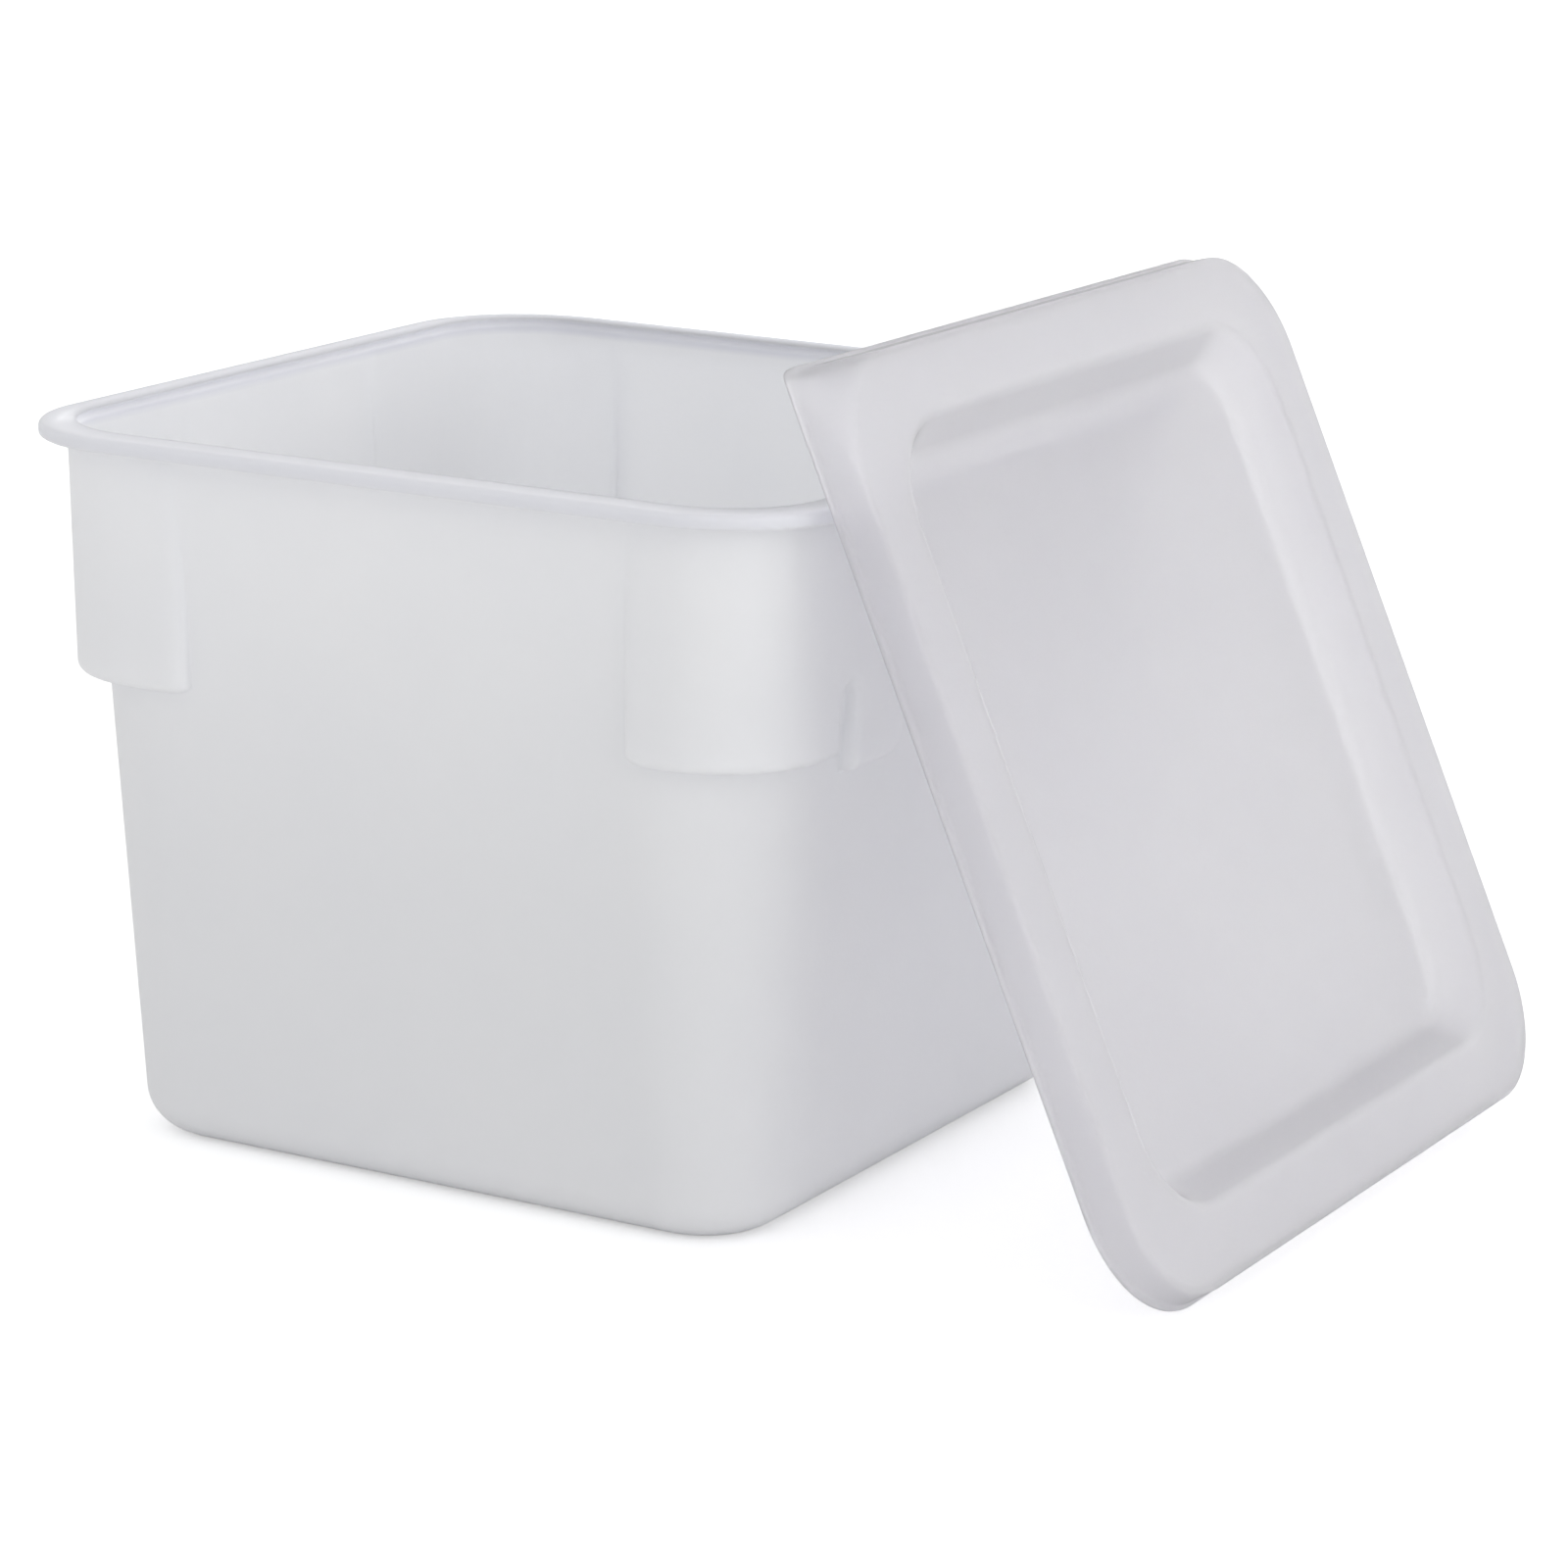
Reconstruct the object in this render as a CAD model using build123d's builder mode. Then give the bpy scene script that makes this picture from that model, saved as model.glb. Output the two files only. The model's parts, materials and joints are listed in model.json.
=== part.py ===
"""Square dough proofing container with its loose lid.

Frame: origin at the middle of the container's flat base, +Z up. The container's front wall
faces -Y, and its lid leans on the +X side of the rim with its lower edge on the floor.
"""
from build123d import *

import os
from math import cos, hypot, radians, sin

os.makedirs("parts", exist_ok=True)

# Container: overall size and walls
rim_width = 222.2
height = 180.0
wall = 2.6
floor_thickness = 3.0
base_width = 180.2
base_corner_radius = 22.5
base_edge_radius = 10.8
shoulder_corner_radius = 40.0

# Container: rim flange with its turned-down lip
rim_overhang = 6.85
rim_corner_radius = 34.4
rim_thickness = 2.3
lip_depth = 3.5
lip_thickness = 2.2
lip_top_radius = 1.4
lip_bottom_radius = 0.9

# Container: its mouth, eased outwards over a short depth below the rim's rounded inner edge
mouth_depth = 4.0
mouth_ease = 0.3
mouth_edge_radius = 1.1

# Container: hollow corner bosses, which a stacked container rests on
boss_height = 62.0
boss_draft = 1.2
boss_reach_right = 39.3
boss_reach_left = 46.0
boss_reach_side = 37.3
boss_edge_radius = 2.6

# Container: lugs that flank the hand-hold of the left and right walls
lug_height = 67.0
lug_width = 24.0
lug_corner_radius = 7.0
groove_width = 6.0
groove_height = 21.0

# Lid: sheet, skirt, bead along its free edge, and pull tab at one corner
lid_wall = 1.7
lid_fit = 0.4
skirt_depth = 10.3
skirt_flare = 1.7
face_corner_radius = 28.0
tab_corner_radius = 2.0
face_edge_radius = 1.6
bead_height = 1.6
bead_width = 0.6

# Lid: dished panel, which plugs the container's mouth
plug_clearance = 4.8
dish_corner_radius = 23.5
dish_depth = 10.3
dish_run = 8.0
dish_floor_radius = 6.0
dish_mouth_radius = 4.0

# Lid: its leaning place, with the dish's underside on the rim
lean_angle = 66.0
lean_offset = 23.2
lean_gap = 0.3

# Overrun of every cut, and how near an edge must lie to count as on a surface
overrun = 1.0
touch = 0.01

# Worked out for the container
rim_half = rim_width / 2
shoulder_half = rim_half - rim_overhang
base_half = base_width / 2
boss_corner_radius = rim_corner_radius - rim_overhang
mouth_half = shoulder_half - wall
mouth_corner_radius = boss_corner_radius - wall
wall_slope = (shoulder_half - base_half) / height
corner_growth = (shoulder_corner_radius - base_corner_radius) / height


def rounded_square(half, radius, plane, tab_radius=None):
    """Face of a rounded square. Its corner towards -X and -Y may have a radius of its own."""
    with BuildSketch(plane) as outline:
        Rectangle(2 * half, 2 * half)
        corners = outline.vertices().sort_by(lambda corner: corner.X + corner.Y)
        fillet(corners[1:], radius)
        tab = outline.vertices().sort_by(lambda corner: corner.X + corner.Y)[0]
        fillet(tab, tab_radius or radius)
    return outline.sketch


def tub_walls(inset):
    """Drafted walls and rounded bottom of the tub, moved inwards by an inset."""
    bottom = floor_thickness if inset else 0
    top = height + overrun if inset else height
    with BuildPart() as walls:
        for level in (bottom, top):
            half = base_half + wall_slope * level - inset
            radius = base_corner_radius + corner_growth * level - inset
            add(rounded_square(half, radius, Plane.XY.offset(level)))
        loft(ruled=True)
        fillet(walls.edges().group_by(Axis.Z)[0], base_edge_radius - inset)
    return walls.part


def pad_half(level):
    """Half width over the bosses and lugs at a height: they are almost upright."""
    return shoulder_half - boss_draft * (height - level) / boss_height


def pad_envelope(inset):
    """Rounded square that the bosses and lugs fill up to, moved inwards by an inset."""
    top = height + overrun if inset else height
    with BuildPart() as envelope:
        for level in (height - lug_height - overrun, top):
            add(rounded_square(pad_half(level) - inset, boss_corner_radius - inset, Plane.XY.offset(level)))
        loft(ruled=True)
    return envelope.part


def block(x_values, y_values, bottom, top):
    """Upright block between two X values, two Y values and two heights."""
    middle = (sum(x_values) / 2, sum(y_values) / 2)
    with BuildPart() as blank:
        with BuildSketch(Plane.XY.offset(bottom)):
            with Locations(middle):
                Rectangle(abs(x_values[1] - x_values[0]), abs(y_values[1] - y_values[0]))
        extrude(amount=top - bottom)
    return blank.part


def is_pad_edge(edge):
    """True for the sharp outer edges of a boss or lug: not its top, and not a corner's seams."""
    points = edge.vertices()
    if any(max(abs(p.X), abs(p.Y)) < pad_half(p.Z) - touch for p in points):
        return False
    if all(p.Z > height - touch for p in points):
        return False
    upright = abs(points[0].Z - points[-1].Z) > boss_edge_radius
    seams = [abs(min(abs(p.X), abs(p.Y)) - pad_half(p.Z) + boss_corner_radius) < touch for p in points]
    return not (upright and all(seams))


def tub_lug(x_values, y_values, bottom, top):
    """Upright block whose lower corner at the first Y value is rounded off."""
    with BuildPart() as lug:
        add(block(x_values, y_values, bottom, top))
        low_edges = lug.edges().filter_by(Axis.X).group_by(Axis.Z)[0]
        fillet(low_edges.sort_by(lambda edge: abs(edge.center().Y - y_values[0]))[0], lug_corner_radius)
    return lug.part


def tub_pads(inset):
    """Bosses round the four corners and lugs on the side walls, moved inwards by an inset."""
    top = height + overrun if inset else height
    outside = rim_half + overrun
    root = shoulder_half - boss_corner_radius
    side_end = shoulder_half - boss_reach_side
    lug_start = side_end - groove_width
    lug_end = lug_start - lug_width
    with BuildPart() as pads:
        for side, boss_reach in ((-1, boss_reach_left), (1, boss_reach_right)):
            boss_x = (side * (shoulder_half - boss_reach + inset), side * outside)
            lug_x = (side * root, side * outside)
            for end in (-1, 1):
                boss_y = (end * (side_end + inset), end * outside)
                lug_y = (end * (lug_end + inset), end * (lug_start - inset))
                web_y = (end * (lug_start - inset), end * (side_end + inset))
                add(block(boss_x, boss_y, height - boss_height + inset, top))
                add(tub_lug(lug_x, lug_y, height - lug_height + inset, top))
                add(block(lug_x, web_y, height - lug_height + groove_height + inset, top))
        add(pad_envelope(inset), mode=Mode.INTERSECT)
        if not inset:
            fillet(pads.edges().filter_by(is_pad_edge), boss_edge_radius)
    return pads.part


with BuildPart() as flange:
    add(rounded_square(rim_half, rim_corner_radius, Plane.XY.offset(height - lip_depth)))
    extrude(amount=lip_depth)
    fillet(flange.edges().group_by(Axis.Z)[-1], lip_top_radius)
    fillet(flange.edges().group_by(Axis.Z)[0], lip_bottom_radius)
    add(rounded_square(rim_half - lip_thickness, rim_corner_radius - lip_thickness,
                       Plane.XY.offset(height - lip_depth)))
    extrude(amount=lip_depth - rim_thickness, mode=Mode.SUBTRACT)

with BuildPart() as mouth:
    add(rounded_square(mouth_half - wall_slope * mouth_depth, mouth_corner_radius,
                       Plane.XY.offset(height - mouth_depth)))
    add(rounded_square(mouth_half + mouth_ease, mouth_corner_radius + mouth_ease, Plane.XY.offset(height)))
    loft(ruled=True)


def is_mouth_edge(edge):
    """True for an edge of the rim's flat top that lies inside the walls' outer faces."""
    return all(p.Z > height - touch and max(abs(p.X), abs(p.Y)) < shoulder_half for p in edge.vertices())


# The container is one moulding: walls, bosses, lugs and flange, all hollowed to one thickness
outer_walls, inner_walls = tub_walls(0), tub_walls(wall)
outer_pads, inner_pads = tub_pads(0), tub_pads(wall)
with BuildPart() as container:
    add(outer_walls)
    add(flange.part)
    add(outer_pads)
    add(inner_walls, mode=Mode.SUBTRACT)
    add(inner_pads, mode=Mode.SUBTRACT)
    add(mouth.part, mode=Mode.SUBTRACT)
    fillet(container.edges().filter_by(is_mouth_edge), mouth_edge_radius)
container.part.label = "container"
export_step(container.part, "parts/container.step")

# Worked out for the lid, in its own plane: X down the lean, Y along the rim, Z outwards
face_half = rim_half + lid_fit + lid_wall
free_half = face_half + skirt_flare
dish_slope = dish_run / dish_depth
dish_side = hypot(1, dish_slope)
dish_half = mouth_half - plug_clearance - lid_wall * (dish_side - dish_slope)
lean = radians(lean_angle)
lid_z = (free_half + bead_width) * sin(lean) + skirt_depth * cos(lean)
rim_reach = (rim_half - lip_top_radius) * sin(lean) + (height - lip_top_radius) * cos(lean) + lip_top_radius
lid_x = (rim_reach + lean_gap + dish_depth + lid_wall - lid_z * cos(lean)) / sin(lean)
lid_plane = Plane(origin=(lid_x, lean_offset, lid_z), x_dir=(cos(lean), 0, -sin(lean)),
                  z_dir=(sin(lean), 0, cos(lean)))
lid_outwards = Axis(lid_plane.origin, lid_plane.z_dir)


def skirt_form(inset):
    """Block from the lid's face down to the skirt's free edge, moved inwards by an inset."""
    depth = skirt_depth + overrun if inset else skirt_depth
    with BuildPart() as form:
        for level in (inset, depth):
            flare = skirt_flare * level / skirt_depth
            radius = face_corner_radius + flare - inset
            tab_share = level / depth if level > inset else 0
            tab_radius = radius + (tab_corner_radius - radius) * tab_share
            add(rounded_square(face_half + flare - inset, radius, lid_plane.offset(-level), tab_radius))
        loft(ruled=True)
    return form.part


def dish_form(spread):
    """Dish pressed into the lid's face, moved outwards by a spread."""
    with BuildPart() as form:
        for level in (0, dish_depth + spread):
            growth = spread * dish_side - dish_slope * level
            add(rounded_square(dish_half + growth, dish_corner_radius + growth, lid_plane.offset(-level)))
        loft(ruled=True)
        fillet(form.faces().sort_by(lid_outwards)[0].edges(), dish_floor_radius + spread)
    return form.part


outer_skirt, inner_skirt = skirt_form(0), skirt_form(lid_wall)
dish, plug = dish_form(0), dish_form(lid_wall)
with BuildPart() as lid:
    add(outer_skirt)
    fillet(lid.faces().sort_by(lid_outwards)[-1].edges(), face_edge_radius)
    add(rounded_square(free_half + bead_width, face_corner_radius + skirt_flare + bead_width,
                       lid_plane.offset(-skirt_depth), tab_corner_radius + bead_width))
    extrude(amount=bead_height)
    add(inner_skirt, mode=Mode.SUBTRACT)
    add(plug)
    add(dish, mode=Mode.SUBTRACT)
    face_edges = lid.faces().sort_by(lid_outwards)[-1].inner_wires().edges()
    fillet(face_edges, dish_mouth_radius)
lid.part.label = "lid"
export_step(lid.part, "parts/lid.step")
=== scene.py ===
"""Dresses the square proofing container and its loose translucent lid for a studio photograph."""

import json
from math import cos, hypot, pi, radians, sin

import bpy
import numpy as np
from mathutils import Matrix, Vector


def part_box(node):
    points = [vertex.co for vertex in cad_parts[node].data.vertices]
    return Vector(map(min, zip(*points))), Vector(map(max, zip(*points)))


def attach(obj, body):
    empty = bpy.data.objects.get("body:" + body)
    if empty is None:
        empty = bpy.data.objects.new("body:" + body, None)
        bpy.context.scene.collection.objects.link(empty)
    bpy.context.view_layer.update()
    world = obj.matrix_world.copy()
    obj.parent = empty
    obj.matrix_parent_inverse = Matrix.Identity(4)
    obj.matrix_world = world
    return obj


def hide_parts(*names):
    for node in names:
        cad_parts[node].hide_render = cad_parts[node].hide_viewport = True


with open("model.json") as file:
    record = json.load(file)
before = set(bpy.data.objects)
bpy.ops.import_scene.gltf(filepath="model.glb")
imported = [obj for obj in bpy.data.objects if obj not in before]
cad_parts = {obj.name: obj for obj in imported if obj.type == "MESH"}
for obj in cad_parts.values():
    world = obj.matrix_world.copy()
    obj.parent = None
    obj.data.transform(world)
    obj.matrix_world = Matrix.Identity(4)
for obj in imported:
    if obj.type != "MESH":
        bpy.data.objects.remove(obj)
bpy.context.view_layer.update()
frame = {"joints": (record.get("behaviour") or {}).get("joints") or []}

# Container
# One injection moulding of white polyethylene: drafted walls, a flanged rim with a turned-down lip,
# four hollow corner bosses, and two lugs that flank the hand-hold of each side wall.
tub_top_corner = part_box("container")[1]
height = tub_top_corner.z
rim_half = tub_top_corner.x
wall = 0.0026
floor_thickness = 0.003
base_half = 0.0901
base_corner_radius = 0.0225
base_edge_radius = 0.0108
shoulder_corner_radius = 0.040
rim_overhang = 0.00685
rim_corner_radius = 0.0344
rim_thickness = 0.0023
lip_depth = 0.0035
lip_thickness = 0.0022
lip_top_radius = 0.0014
lip_bottom_radius = 0.0009
pocket_bend_run = 0.0008
pocket_bend_drop = 0.0006
mouth_depth = 0.004
mouth_ease = 0.0003
mouth_edge_radius = 0.0011
boss_height = 0.062
boss_draft = 0.0012
boss_reach_right = 0.0393
boss_reach_left = 0.046
boss_reach_side = 0.0373
boss_edge_radius = 0.0026
boss_end_run = 0.0055
lug_height = 0.067
lug_width = 0.024
lug_corner_radius = 0.007
groove_width = 0.006
groove_height = 0.021
step_steepness = 12.0
crease = 0.0003

# Worked out from the sizes: the upper ends of the walls, and the places of bosses, lugs and grooves
shoulder_half = rim_half - rim_overhang
wall_slope = (shoulder_half - base_half) / height
corner_growth = (shoulder_corner_radius - base_corner_radius) / height
boss_foot = height - boss_height
boss_slope = boss_draft / boss_height
boss_corner_radius = rim_corner_radius - rim_overhang
boss_end_right = shoulder_half - boss_reach_right
boss_end_left = shoulder_half - boss_reach_left
boss_end_side = shoulder_half - boss_reach_side
lug_foot = height - lug_height
lug_far = boss_end_side - groove_width - lug_width
groove_half = groove_width / 2
groove_middle = boss_end_side - groove_half
groove_round_level = lug_foot + groove_height - groove_half


def stops_to_values(stops, steps):
    """Rising or falling values that run through the stops, with that many equal steps between each two."""
    runs = [np.linspace(a, b, n, endpoint=False) for a, b, n in zip(stops[:-1], stops[1:], steps)]
    return np.concatenate(runs + [stops[-1:]])


def quarter(start, end, steps):
    """Points of a quarter ellipse that leaves its start along the first axis and its end along the second."""
    turn = np.linspace(0, pi / 2, steps + 1)[:, None]
    start, end = np.array(start), np.array(end)
    return start + (end - start) * np.hstack([np.sin(turn), 1 - np.cos(turn)])


class Rays:
    """Level rays out of a core square, parallel along its four sides and fanned out round its corners.

    Along a side a ray starts at its own place on the side. Round a corner all rays start at the corner,
    and their angles fill the right angle, evenly at a power of one and crowded about its middle at a
    greater one. They have no place on the side, so theirs counts as infinitely far. Going round is
    anticlockwise, seen from above, from side 0 in front to side 3 on the left, each followed by its corner.
    """

    def __init__(self, core, side_stops, side_steps, fan_steps, gather=1.0):
        half_side = stops_to_values(np.array(side_stops + [core]), side_steps)
        along = np.concatenate([-half_side[:0:-1], half_side])
        spread = np.linspace(-1, 1, fan_steps + 1)[1:-1]
        fan = pi / 4 * (1 + np.sign(spread) * np.abs(spread) ** gather)
        self.core = core
        self.lateral = np.tile(np.concatenate([along, np.full(fan.size, np.inf)]), 4)
        self.cosine = np.tile(np.concatenate([np.ones(along.size), np.cos(fan)]), 4)
        self.sine = np.tile(np.concatenate([np.zeros(along.size), np.sin(fan)]), 4)
        start = np.concatenate([along, np.full(fan.size, core)])
        self.side = np.repeat(np.arange(4), start.size)
        outward = np.array([[0, -1], [1, 0], [0, 1], [-1, 0]])[self.side]
        onward = outward[:, ::-1] * [-1, 1]
        self.root = outward * core + onward * np.tile(start, 4)[:, None]
        self.way = outward * self.cosine[:, None] + onward * self.sine[:, None]
        nearer_next = np.tile(np.concatenate([np.zeros(along.size), fan > pi / 4]), 4).astype(int)
        self.faces_side_wall = (self.side + nearer_next) % 2 == 1
        self.right_of_middle = self.root[:, 0] > 0

    def reach(self, half, radius):
        """How far each ray runs to a rounded square of that half width and corner radius.

        A ray ends on the straight side unless that point lies past the corner's centre. Then it ends on the
        arc: it runs to the foot of the perpendicular from the corner's centre, and on by the square root of
        the radius squared less the perpendicular squared.
        """
        past = half - radius - self.core
        beside = np.maximum(np.minimum(np.abs(self.lateral), self.core) - self.core - past, 0)
        along_side = past + np.sqrt(np.maximum(radius**2 - beside**2, 0))
        straight = (half - self.core) / np.maximum(self.cosine, self.sine)
        across = past * (self.cosine - self.sine)
        arc = past * (self.cosine + self.sine) + np.sqrt(np.maximum(radius**2 - across**2, 0))
        corner = np.where(straight * np.minimum(self.cosine, self.sine) > past, arc, straight)
        return np.where(self.sine == 0, along_side, corner)

    def ring(self, distance, level):
        """Points at a distance along every ray, at a level."""
        flat = self.root + self.way * np.asarray(distance)[..., None]
        levels = np.broadcast_to(np.asarray(level)[..., None], flat.shape[:-1] + (1,))
        return np.concatenate([flat, levels], axis=-1)


def closed_shell(name, rings, first_pole, last_pole, place=None):
    """Mesh object through closed rings of points, shut by a fan of triangles at each pole."""
    rows, columns = rings.shape[:2]
    points = np.concatenate([rings.reshape(-1, 3), [first_pole, last_pole]])
    if place is not None:
        points = points @ np.array(place.to_3x3()).T + np.array(place.translation)
    index = np.arange(rows * columns).reshape(rows, columns)
    onward = np.roll(index, -1, axis=1)
    quads = np.stack([index[:-1], onward[:-1], onward[1:], index[1:]], axis=-1).reshape(-1, 4)
    first = np.stack([onward[0], index[0], np.full(columns, len(points) - 2)], axis=-1)
    last = np.stack([index[-1], onward[-1], np.full(columns, len(points) - 1)], axis=-1)
    mesh = bpy.data.meshes.new(name)
    mesh.from_pydata(points.tolist(), [], quads.tolist() + first.tolist() + last.tolist())
    mesh.shade_smooth()
    piece = bpy.data.objects.new(name, mesh)
    bpy.context.scene.collection.objects.link(piece)
    return piece


def rounded_overlap(first, second, radius):
    """Depth inside two borders at once: the smaller one, measured round a corner of that radius."""
    near_corner = (first < radius) & (second < radius)
    round_corner = radius - np.hypot(radius - first, radius - second)
    return np.where(near_corner, round_corner, np.minimum(first, second))


def depth_in_pads(rays, level, inset):
    """How far each point of the wall lies inside the outline of a boss or lug, moved in by an inset.

    On the front and back a boss is bounded by its end and its foot. On a side wall the boss and the lug
    are one outline with a rounded far corner, out of which the groove, a tall round-topped slot, is taken.
    """
    beside = np.abs(rays.lateral)
    softened = boss_edge_radius / boss_end_run
    end = np.where(rays.right_of_middle, boss_end_right, boss_end_left) + inset
    boss = rounded_overlap((beside - end) * softened, level - boss_foot - inset, boss_edge_radius)
    foot = np.where(beside < groove_middle, lug_foot, boss_foot) + inset
    lug = rounded_overlap(beside - lug_far - inset, level - foot, lug_corner_radius)
    over_round = np.maximum(level - groove_round_level, 0)
    groove = np.hypot(beside - groove_middle, over_round) - groove_half - inset
    return np.where(rays.faces_side_wall, np.minimum(lug, groove), boss)


def tub_wall(rays, level, inset):
    """Distance along each ray to the wall with its bosses and lugs, moved in by an inset.

    A pad stands out from the drafted wall to its own almost upright face. Its height falls round its edge
    by a quarter circle, then steeply, and meets the wall in a small crease.
    """
    wall_half = base_half + wall_slope * level - inset
    wall_corner_radius = base_corner_radius + corner_growth * level - inset
    base = rays.reach(wall_half, wall_corner_radius)
    pad_half = shoulder_half - boss_slope * (height - level) - inset
    pad = rays.reach(pad_half, boss_corner_radius - inset)
    depth = depth_in_pads(rays, level, inset)
    bent = np.clip(depth, 0, boss_edge_radius)
    fall = boss_edge_radius - np.sqrt(boss_edge_radius**2 - (boss_edge_radius - bent) ** 2)
    fall = fall + step_steepness * np.maximum(-depth, 0)
    rise = pad - base - fall
    return base + (rise + np.sqrt(rise**2 + crease**2)) / 2


def bottom_edge(rays, bottom, inset, steps):
    """Rings round the bottom's edge: a quarter circle from the flat bottom up to just below the walls."""
    edge_radius = base_edge_radius - inset
    edge = quarter((edge_radius, 0), (0, edge_radius), steps)[:-1]
    cut_in, level = inset + edge[:, :1], bottom + edge[:, 1:]
    half = base_half + wall_slope * level - cut_in
    corner_radius = base_corner_radius + corner_growth * level - cut_in
    return rays.ring(rays.reach(half, corner_radius), level)


# Columns of points crowd at the lug's far edge, and from the end of the longest boss to past the shortest
tub_rays = Rays(core=0.0735, side_stops=[0, 0.030, 0.0355, 0.040, 0.0575, 0.0705],
                side_steps=[6, 5, 9, 8, 26, 3], fan_steps=26)

# Outside, from the flat base up: base edge, walls with bosses and lugs, underside of the flange. Rows of
# points crowd at the feet of the pads and at the round tops of the grooves, from a gap or a margin before a
# bend to one past it, and are even over the uppermost depth.
row_gap = 0.0004
row_margin = 0.001
even_rows_depth = 0.030
flange_low = height - rim_thickness
rings = [bottom_edge(tub_rays, bottom=0, inset=0, steps=12)]
levels = stops_to_values(
    [base_edge_radius, lug_foot - 2 * row_margin, lug_foot - row_gap, lug_foot + boss_edge_radius,
     boss_foot - row_gap, boss_foot + boss_edge_radius, groove_round_level - row_margin,
     groove_round_level + groove_half + row_margin, height - even_rows_depth, flange_low],
    steps=[12, 3, 10, 3, 10, 6, 8, 10, 7])[:, None]
rings.append(tub_rays.ring(tub_wall(tub_rays, levels, 0), levels))

# Rim: outwards under the flange, round the turned-down lip and over the flat top to the mouth
lip_low = height - lip_depth
pocket = np.array([[lip_thickness + pocket_bend_run, flange_low],
                   [lip_thickness, flange_low - pocket_bend_drop],
                   [lip_thickness, lip_low]])
lip_foot = quarter((lip_bottom_radius, lip_low), (0, lip_low + lip_bottom_radius), steps=4)
turn = np.linspace(0, pi / 2, num=7)
lip_crown = np.stack([lip_top_radius * (1 - np.cos(turn)),
                      height - lip_top_radius * (1 - np.sin(turn))], axis=1)
rim_profile = np.concatenate([pocket, lip_foot, lip_crown])
rim_inset, rim_level = rim_profile[:, :1], rim_profile[:, 1:]
rings.append(tub_rays.ring(tub_rays.reach(rim_half - rim_inset, rim_corner_radius - rim_inset), rim_level))
mouth_half = shoulder_half - wall + mouth_ease
mouth_radius = boss_corner_radius - wall + mouth_ease
mouth_edge = mouth_edge_radius * np.stack([np.cos(turn), np.sin(turn) - 1], axis=1)[::-1]
mouth_out, mouth_level = mouth_edge[:, :1], height + mouth_edge[:, 1:]
rings.append(tub_rays.ring(tub_rays.reach(mouth_half + mouth_out, mouth_radius + mouth_out), mouth_level))

# Inside, from the mouth down: eased mouth, walls with the hollows of bosses and lugs, rounded floor edge.
# Rows crowd at the feet of the hollows, which lie the wall's thickness above the feet of the pads.
hollow_bend = wall + boss_edge_radius + row_gap
levels = stops_to_values(
    [height - mouth_edge_radius - row_gap, height - mouth_depth - row_margin, height - even_rows_depth,
     groove_round_level + groove_half + wall + row_margin + row_gap, boss_foot + hollow_bend,
     boss_foot + 2 * row_margin, lug_foot + hollow_bend, lug_foot + 2 * row_margin,
     floor_thickness + base_edge_radius - wall],
    steps=[4, 5, 8, 8, 8, 3, 8, 10])[:, None]
walls = tub_wall(tub_rays, levels, wall)
ease = np.clip((levels - height + mouth_depth) / mouth_depth, 0, 1)
low_mouth = shoulder_half - wall - wall_slope * mouth_depth
eased = tub_rays.reach(low_mouth + ease * (mouth_half - low_mouth), mouth_radius)
rings.append(tub_rays.ring(np.where(levels > height - mouth_depth, np.maximum(walls, eased), walls), levels))
rings.append(bottom_edge(tub_rays, bottom=floor_thickness, inset=wall, steps=8)[::-1])

# Its plastic: the colours of its clouds, and the painted shade of the rim, blended in about the lip's foot
white_shade = (0.865, 0.873, 0.907, 1)
white_light = (0.885, 0.891, 0.92, 1)
rim_painted_shade = (0.86, 0.86, 0.9, 1)
rim_shade_blend = 0.0008


def set_sockets(node, settings):
    """Gives sockets of a node their plain values, by the sockets' names."""
    for socket, value in settings.items():
        node.inputs[socket].default_value = value


def moulded_plastic(name, shade, light, cloud_scale, grain_scale, grain_strength):
    """Plastic with faint clouds between two colours and a fine raised grain, both noise over the piece."""
    material = bpy.data.materials.new(name)
    material.use_nodes = True
    nodes, links = material.node_tree.nodes, material.node_tree.links
    shader = nodes["Principled BSDF"]
    place = nodes.new("ShaderNodeTexCoord")
    place.name = "place"
    cloud = nodes.new("ShaderNodeTexNoise")
    cloud.name = "clouds"
    set_sockets(cloud, {"Scale": cloud_scale, "Detail": 4})
    links.new(place.outputs["Object"], cloud.inputs["Vector"])
    tint = nodes.new("ShaderNodeValToRGB")
    tint.name = "cloud colour"
    cloud_range = (0.3, 0.7)
    for element, position, colour in zip(tint.color_ramp.elements, cloud_range, (shade, light)):
        element.position = position
        element.color = colour
    links.new(cloud.outputs["Fac"], tint.inputs["Fac"])
    links.new(tint.outputs["Color"], shader.inputs["Base Color"])
    grain = nodes.new("ShaderNodeTexNoise")
    set_sockets(grain, {"Scale": grain_scale, "Detail": 3})
    links.new(place.outputs["Object"], grain.inputs["Vector"])
    grain_depth = 0.0002
    relief = nodes.new("ShaderNodeBump")
    set_sockets(relief, {"Strength": grain_strength, "Distance": grain_depth})
    links.new(grain.outputs["Fac"], relief.inputs["Height"])
    links.new(relief.outputs["Normal"], shader.inputs["Normal"])
    return material


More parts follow.
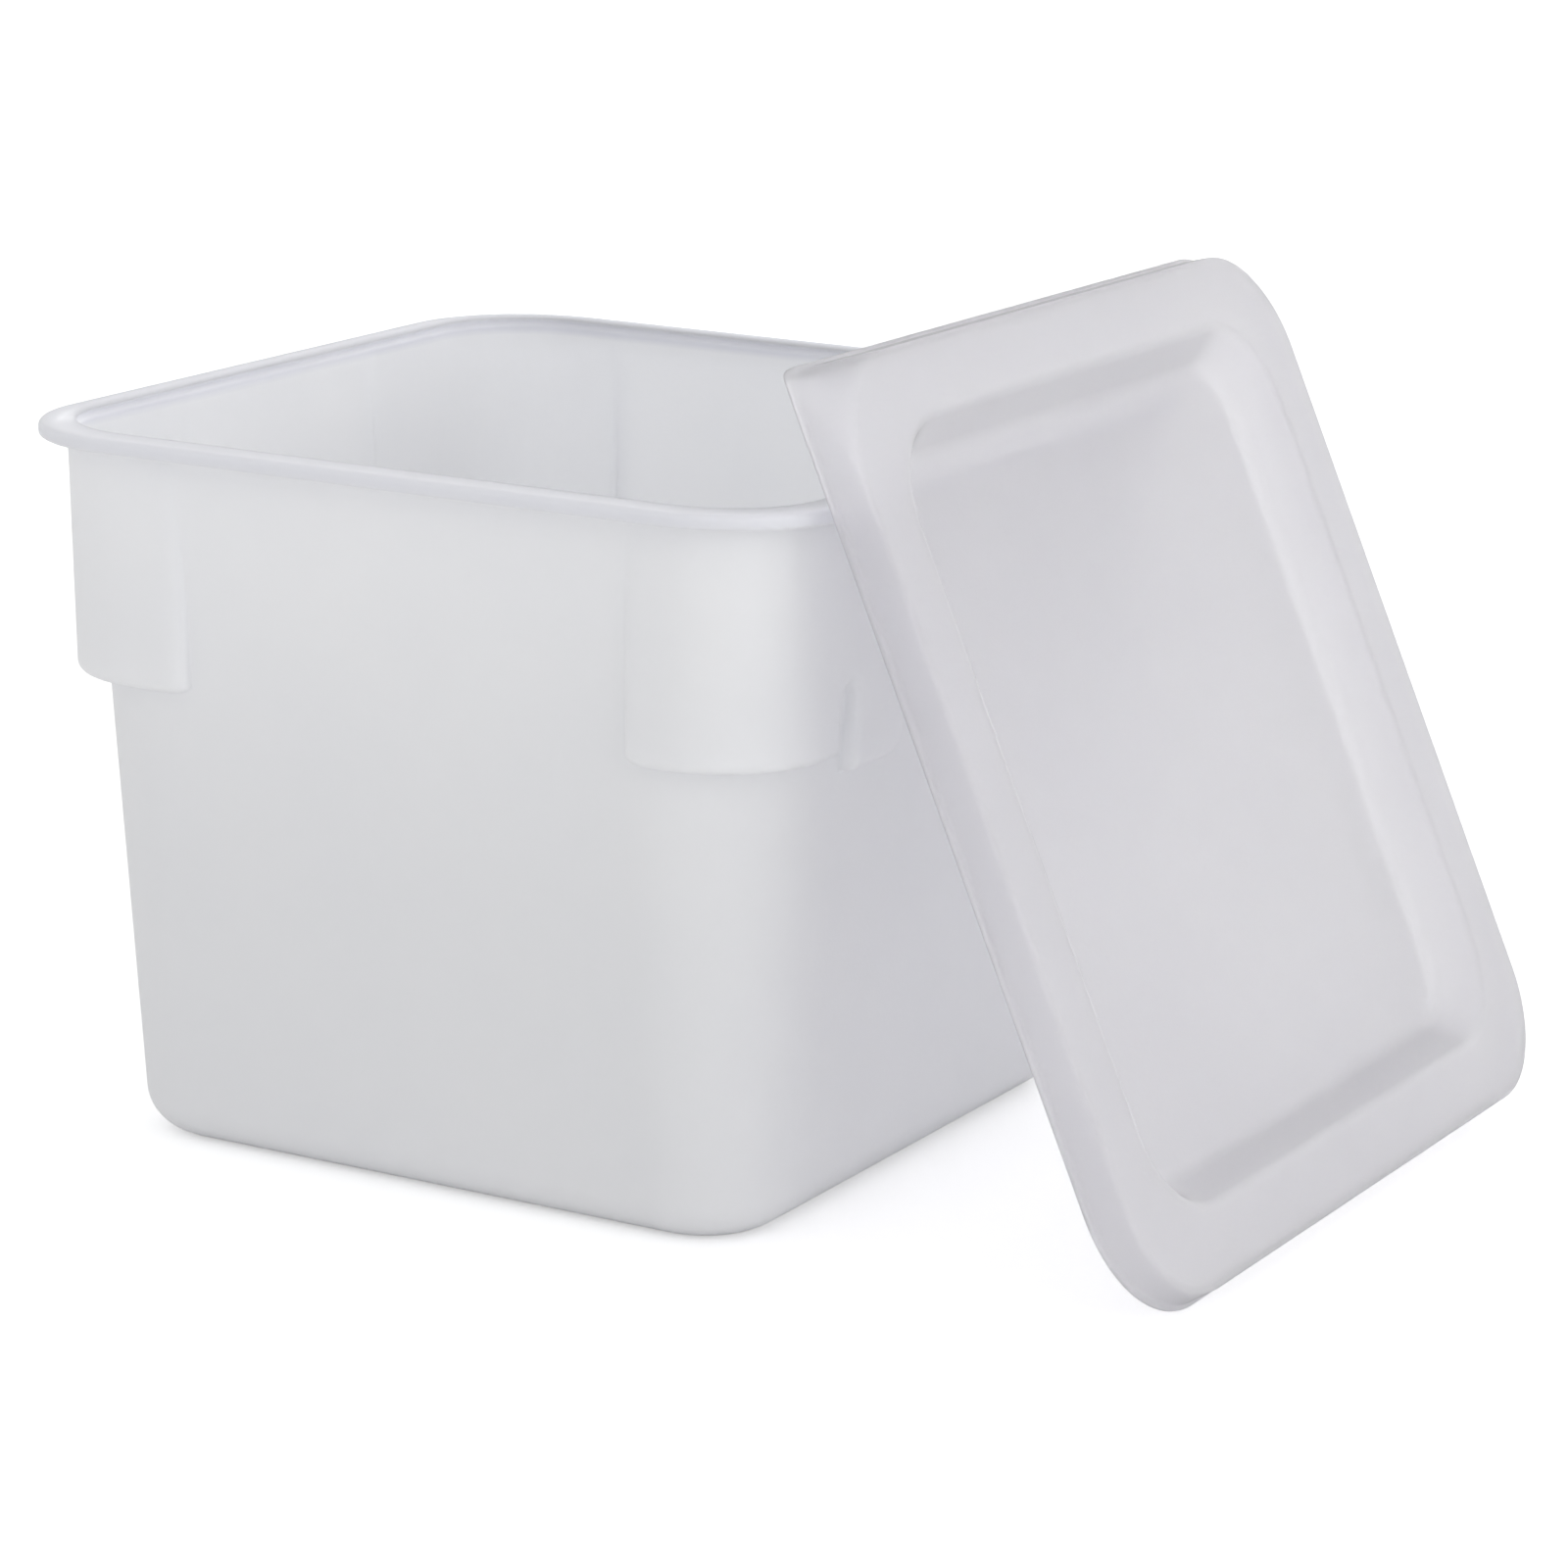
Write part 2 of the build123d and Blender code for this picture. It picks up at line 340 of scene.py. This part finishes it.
def white_plastic():
    """Satin white polyethylene: its gloss follows the clouds, and painted shade greys its rim."""
    material = moulded_plastic("white_plastic", white_shade, white_light, cloud_scale=28, grain_scale=900,
                               grain_strength=0.12)
    nodes, links = material.node_tree.nodes, material.node_tree.links
    shader = nodes["Principled BSDF"]
    place_parts = nodes.new("ShaderNodeSeparateXYZ")
    links.new(nodes["place"].outputs["Object"], place_parts.inputs["Vector"])
    # Painted shade: above the lip's foot the colour is multiplied by a greyer tint, which darkens the rim
    # band as if it lay in shade.
    rim_shade_share = nodes.new("ShaderNodeMapRange")
    set_sockets(rim_shade_share, {"From Min": lip_low - rim_shade_blend, "From Max": lip_low + rim_shade_blend})
    links.new(place_parts.outputs["Z"], rim_shade_share.inputs["Value"])
    rim_shaded_colour = nodes.new("ShaderNodeMixRGB")
    rim_shaded_colour.blend_type = "MULTIPLY"
    rim_shaded_colour.inputs["Color2"].default_value = rim_painted_shade
    links.new(rim_shade_share.outputs["Result"], rim_shaded_colour.inputs["Fac"])
    links.new(nodes["cloud colour"].outputs["Color"], rim_shaded_colour.inputs["Color1"])
    links.new(rim_shaded_colour.outputs["Color"], shader.inputs["Base Color"])
    gloss = nodes.new("ShaderNodeMapRange")
    set_sockets(gloss, {"To Min": 0.42, "To Max": 0.54})
    links.new(nodes["clouds"].outputs["Fac"], gloss.inputs["Value"])
    links.new(gloss.outputs["Result"], shader.inputs["Roughness"])
    set_sockets(shader, {"IOR": 1.5, "Specular IOR Level": 0.18, "Subsurface Weight": 1.0,
                         "Subsurface Radius": (1.0, 1.0, 1.0), "Subsurface Scale": 0.007})
    return material


tub = closed_shell("tub_shell", np.concatenate(rings), (0, 0, 0), (0, 0, floor_thickness))
tub.data.materials.append(white_plastic())
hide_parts("container")
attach(tub, "tub")

# Lid
# One thinner moulding of milky translucent polyethylene: a flat flange round a dished panel, and a skirt with
# a bead along its free edge that runs out into a square pull tab at one corner. It leans loose on the rim.
lean = radians(66.0)
lid_low, lid_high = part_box("lid")
lid_wall = 0.0017
skirt_depth = 0.0103
skirt_flare = 0.0017
bead_width = 0.0006
bead_height = 0.0016
bead_edge_run = 0.0004
bead_draft = 0.0001
bead_root_run = 0.0003
face_corner_radius = 0.028
tab_corner_radius = 0.002
face_edge_radius = 0.0016
face_rim_run = 0.004
panel_half = 0.060
panel_corner_share = 0.14
dish_depth = 0.0103
dish_run = 0.008
dish_top_half = 0.096
dish_top_radius = 0.0235

# How much of its straight legs each rounded bend takes up
dish_mouth_tangent = 0.002
dish_floor_tangent = 0.003
plug_mouth_tangent = 0.0015
plug_floor_tangent = 0.0038

# Where the bends of the face's edge end and the skirt's straight stretches start: depths, and how far the
# flared skirt stands out of the face's edge there, or in from the free edge
inner_corner_run = 0.0014
inner_corner_out = 0.0003
inner_bend_drop = 0.0018
inner_bend_out = 0.0005
inside_start_depth = 0.0045
inside_start_out = 0.0007
outside_low_depth = 0.0078
outside_low_in = 0.0005
outside_top_depth = 0.0022
outside_top_out = 0.0003
face_edge_out = 0.0002

# Worked out from the sizes: the edges' half widths, and the lid's place with its lower edge on the floor
face_half = (lid_high.y - lid_low.y) / 2 - skirt_flare - bead_width
free_half = face_half + skirt_flare
bead_half = free_half + bead_width
inner_half = face_half - lid_wall
dish_slope = dish_run / dish_depth
plug_growth = lid_wall * (hypot(1, dish_slope) - dish_slope)
foot_x = frame["joints"][0]["pos_m"][0]
lid_x = foot_x + skirt_depth * sin(lean) - bead_half * cos(lean)
lid_y = (lid_low.y + lid_high.y) / 2
lid_z = bead_half * sin(lean) + skirt_depth * cos(lean)
lid_place = Matrix(((cos(lean), 0, sin(lean), lid_x), (0, 1, 0, lid_y), (-sin(lean), 0, cos(lean), lid_z),
                    (0, 0, 0, 1)))
lid_rays = Rays(core=0.055, side_stops=[0], side_steps=[26], fan_steps=64, gather=1.5)


def bend(before, corner, after, steps):
    """Points of a curve that leaves one leg and joins the other: a quadratic drawn to their corner point."""
    t = np.linspace(0, 1, steps + 1)[:, None]
    before, corner, after = np.array(before), np.array(corner), np.array(after)
    return (1 - t) ** 2 * before + 2 * t * (1 - t) * corner + t**2 * after


def towards(start, end, distance):
    """The point at a distance from the start towards the end."""
    start, end = np.array(start), np.array(end)
    return start + (end - start) * distance / np.hypot(*(end - start))


# Its profile, as half widths and levels: from under the panel out to the skirt, round the bead, up the
# outside and back over the face into the dish
dish_mouth = (dish_top_half, 0)
dish_foot = (dish_top_half - dish_run, -dish_depth)
plug_mouth = (dish_top_half + plug_growth, -lid_wall)
plug_foot = (dish_top_half - dish_run + plug_growth, -dish_depth - lid_wall)
under_panel = np.concatenate([
    [(panel_half, plug_foot[1])],
    bend((plug_foot[0] - plug_floor_tangent, plug_foot[1]), plug_foot,
         towards(plug_foot, plug_mouth, plug_floor_tangent), steps=8),
    bend(towards(plug_mouth, plug_foot, plug_mouth_tangent), plug_mouth,
         (plug_mouth[0] + plug_mouth_tangent, -lid_wall), steps=5),
    bend((inner_half - inner_corner_run, -lid_wall), (inner_half + inner_corner_out, -lid_wall),
         (inner_half + inner_bend_out, -lid_wall - inner_bend_drop), steps=6),
])
skirt_inside = np.linspace((inner_half + inside_start_out, -inside_start_depth),
                           (free_half - lid_wall, -skirt_depth), num=6)
bead_top = -skirt_depth + bead_height
free_edge = np.concatenate([
    bend((free_half - bead_edge_run, -skirt_depth), (bead_half, -skirt_depth),
         (bead_half, -skirt_depth + bead_height / 2), steps=5),
    bend((bead_half, bead_top - bead_edge_run), (bead_half - bead_draft, bead_top),
         (free_half - bead_root_run, bead_top + bead_root_run), steps=4),
])
skirt_outside = np.linspace((free_half - outside_low_in, -outside_low_depth),
                            (face_half + outside_top_out, -outside_top_depth), num=6)
face_edge = bend((face_half + face_edge_out, -face_edge_radius), (face_half, 0),
                 (face_half - face_edge_radius, 0), steps=6)
dish = np.concatenate([
    [(face_half - face_rim_run, 0)],
    bend((dish_top_half + dish_mouth_tangent, 0), dish_mouth,
         towards(dish_mouth, dish_foot, dish_mouth_tangent), steps=12),
    bend(towards(dish_foot, dish_mouth, dish_floor_tangent), dish_foot,
         (dish_foot[0] - dish_floor_tangent, -dish_depth), steps=10),
    [(panel_half, -dish_depth)],
])
lid_profile = np.concatenate([under_panel, skirt_inside, free_edge, skirt_outside, face_edge, dish])

# Its corner radii, which follow the dish inside and the face outside, and shrink down the skirt at the tab,
# the corner after the upper side
upper_side = 3
half, level = lid_profile[:, :1], lid_profile[:, 1:]
flare_share = np.clip(-level / skirt_depth, 0, 1) * (half > inner_half)
radius = np.maximum(half - dish_top_half + dish_top_radius, half * panel_corner_share)
radius = np.where(half > face_half - face_rim_run, half - face_half + face_corner_radius, radius)
is_tab_corner = (lid_rays.side == upper_side) & np.isinf(lid_rays.lateral)
tab_radius = radius + (tab_corner_radius + half - free_half - radius) * flare_share
radius = np.where(is_tab_corner, tab_radius, radius)
lid_rings = lid_rays.ring(lid_rays.reach(half, radius), level)

# Its plastic: the colours of its clouds
milky_shade = (0.865, 0.857, 0.888, 1)
milky_light = (0.885, 0.877, 0.905, 1)


def translucent_plastic():
    """Milky translucent polyethylene: light comes through it softened, and its gloss is low."""
    material = moulded_plastic("translucent_plastic", milky_shade, milky_light, cloud_scale=22,
                               grain_scale=700, grain_strength=0.1)
    shader = material.node_tree.nodes["Principled BSDF"]
    set_sockets(shader, {"Roughness": 0.6, "IOR": 1.3, "Specular IOR Level": 0.45, "Transmission Weight": 0.6,
                         "Subsurface Weight": 1.0, "Subsurface Radius": (1.0, 1.0, 1.0),
                         "Subsurface Scale": 0.006})
    return material


lid = closed_shell("lid_sheet", lid_rings, (0, 0, -dish_depth - lid_wall), (0, 0, -dish_depth), lid_place)
lid.data.materials.append(translucent_plastic())
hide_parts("lid")
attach(lid, "cover")

# Studio floor
# A wide pale sheet under the object. It takes the object's shadow, and a little glow of its own, seen by the
# camera alone, lifts its lit part to the white of the backdrop.
floor_half = 12.0
paper_colour = (0.92, 0.92, 0.92, 1)
camera_glow = 0.40
floor_mesh = bpy.data.meshes.new("studio_floor")
floor_corners = [(-floor_half, -floor_half, 0), (floor_half, -floor_half, 0),
                 (floor_half, floor_half, 0), (-floor_half, floor_half, 0)]
floor_mesh.from_pydata(floor_corners, [], [(0, 1, 2, 3)])
floor = bpy.data.objects.new("studio_floor", floor_mesh)
bpy.context.scene.collection.objects.link(floor)
floor_paper = bpy.data.materials.new("floor_paper")
floor_paper.use_nodes = True
nodes, links = floor_paper.node_tree.nodes, floor_paper.node_tree.links
paper = nodes["Principled BSDF"]
set_sockets(paper, {"Base Color": paper_colour, "Roughness": 0.9})
glow = nodes.new("ShaderNodeEmission")
ray = nodes.new("ShaderNodeLightPath")
glow_strength = nodes.new("ShaderNodeMath")
glow_strength.operation = "MULTIPLY"
glow_strength.inputs[1].default_value = camera_glow
links.new(ray.outputs["Is Camera Ray"], glow_strength.inputs[0])
links.new(glow_strength.outputs["Value"], glow.inputs["Strength"])
both = nodes.new("ShaderNodeAddShader")
links.new(paper.outputs["BSDF"], both.inputs[0])
links.new(glow.outputs["Emission"], both.inputs[1])
links.new(both.outputs["Shader"], nodes["Material Output"].inputs["Surface"])
floor_mesh.materials.append(floor_paper)

# Studio light
# Daylight from all round, a little brighter at the horizon, and white where it is seen, by the camera,
# through the lid or in a reflection. Three wide far lamps add to it: low behind the tub, which glows through
# its back wall, low on the right, and a weaker one in front.
horizon_strength = 0.66
zenith_strength = 0.62
white_strength = 1.0
world = bpy.data.worlds.new("studio_world")
world.use_nodes = True
nodes, links = world.node_tree.nodes, world.node_tree.links
sky = nodes["Background"]
sky.inputs["Color"].default_value = (1, 1, 1, 1)
ray = nodes.new("ShaderNodeLightPath")
seen = nodes.new("ShaderNodeMath")
seen.operation = "MAXIMUM"
links.new(ray.outputs["Is Camera Ray"], seen.inputs[0])
links.new(ray.outputs["Is Transmission Ray"], seen.inputs[1])
seen_or_mirrored = nodes.new("ShaderNodeMath")
seen_or_mirrored.operation = "MAXIMUM"
links.new(seen.outputs["Value"], seen_or_mirrored.inputs[0])
links.new(ray.outputs["Is Glossy Ray"], seen_or_mirrored.inputs[1])
direction = nodes.new("ShaderNodeTexCoord")
steepness = nodes.new("ShaderNodeSeparateXYZ")
links.new(direction.outputs["Generated"], steepness.inputs["Vector"])
daylight = nodes.new("ShaderNodeMapRange")
set_sockets(daylight, {"To Min": horizon_strength, "To Max": zenith_strength})
links.new(steepness.outputs["Z"], daylight.inputs["Value"])
strength = nodes.new("ShaderNodeMapRange")
strength.inputs["To Max"].default_value = white_strength
links.new(daylight.outputs["Result"], strength.inputs["To Min"])
links.new(seen_or_mirrored.outputs["Value"], strength.inputs["Value"])
links.new(strength.outputs["Result"], sky.inputs["Strength"])
bpy.context.scene.world = world


def far_lamp(name, azimuth, elevation, spread, strength):
    """Lamp so far off that it lights everything alike. Its azimuth turns from the front to the right.

    All its angles are in degrees.
    """
    azimuth, elevation = radians(azimuth), radians(elevation)
    lamp = bpy.data.lights.new(name, "SUN")
    lamp.angle = radians(spread)
    lamp.energy = strength
    towards_lamp = Vector((sin(azimuth) * cos(elevation), -cos(azimuth) * cos(elevation), sin(elevation)))
    holder = bpy.data.objects.new(name, lamp)
    holder.rotation_euler = towards_lamp.to_track_quat("Z", "Y").to_euler()
    bpy.context.scene.collection.objects.link(holder)


far_lamp("backdrop_lamp", azimuth=180, elevation=6, spread=50, strength=1.3)
far_lamp("right_lamp", azimuth=92, elevation=8, spread=60, strength=1.35)
far_lamp("front_lamp", azimuth=355, elevation=35, spread=60, strength=0.16)

# Camera
# It stands in front on the right, a little above the rim. Its place comes from fitting the outlines of tub,
# rim and lid in the photograph, so its small roll and its offset from the object's middle are kept.
camera_azimuth = radians(29.73)
camera_elevation = radians(14.22)
camera_roll = radians(0.93)
camera_distance = 1.32259
camera_aside = 0.04255
camera_above = -0.01651
aim_height = 0.1
sensor_width = 36.0
image_width_px = 1600
focal_length_px = 5369.79
back = Vector((sin(camera_azimuth) * cos(camera_elevation), -cos(camera_azimuth) * cos(camera_elevation),
               sin(camera_elevation)))
level_right = Vector((cos(camera_azimuth), sin(camera_azimuth), 0))
level_up = back.cross(level_right)
right = cos(camera_roll) * level_right + sin(camera_roll) * level_up
up = -sin(camera_roll) * level_right + cos(camera_roll) * level_up
camera_place = Vector((0, 0, aim_height)) + back * camera_distance + right * camera_aside + up * camera_above
lens = bpy.data.cameras.new("camera")
lens.sensor_width = sensor_width
lens.lens = focal_length_px / image_width_px * sensor_width
camera = bpy.data.objects.new("camera", lens)
camera.matrix_world = Matrix.Translation(camera_place) @ Matrix((right, up, back)).transposed().to_4x4()
bpy.context.scene.collection.objects.link(camera)
bpy.context.scene.camera = camera
bpy.context.scene.view_settings.view_transform = "Standard"
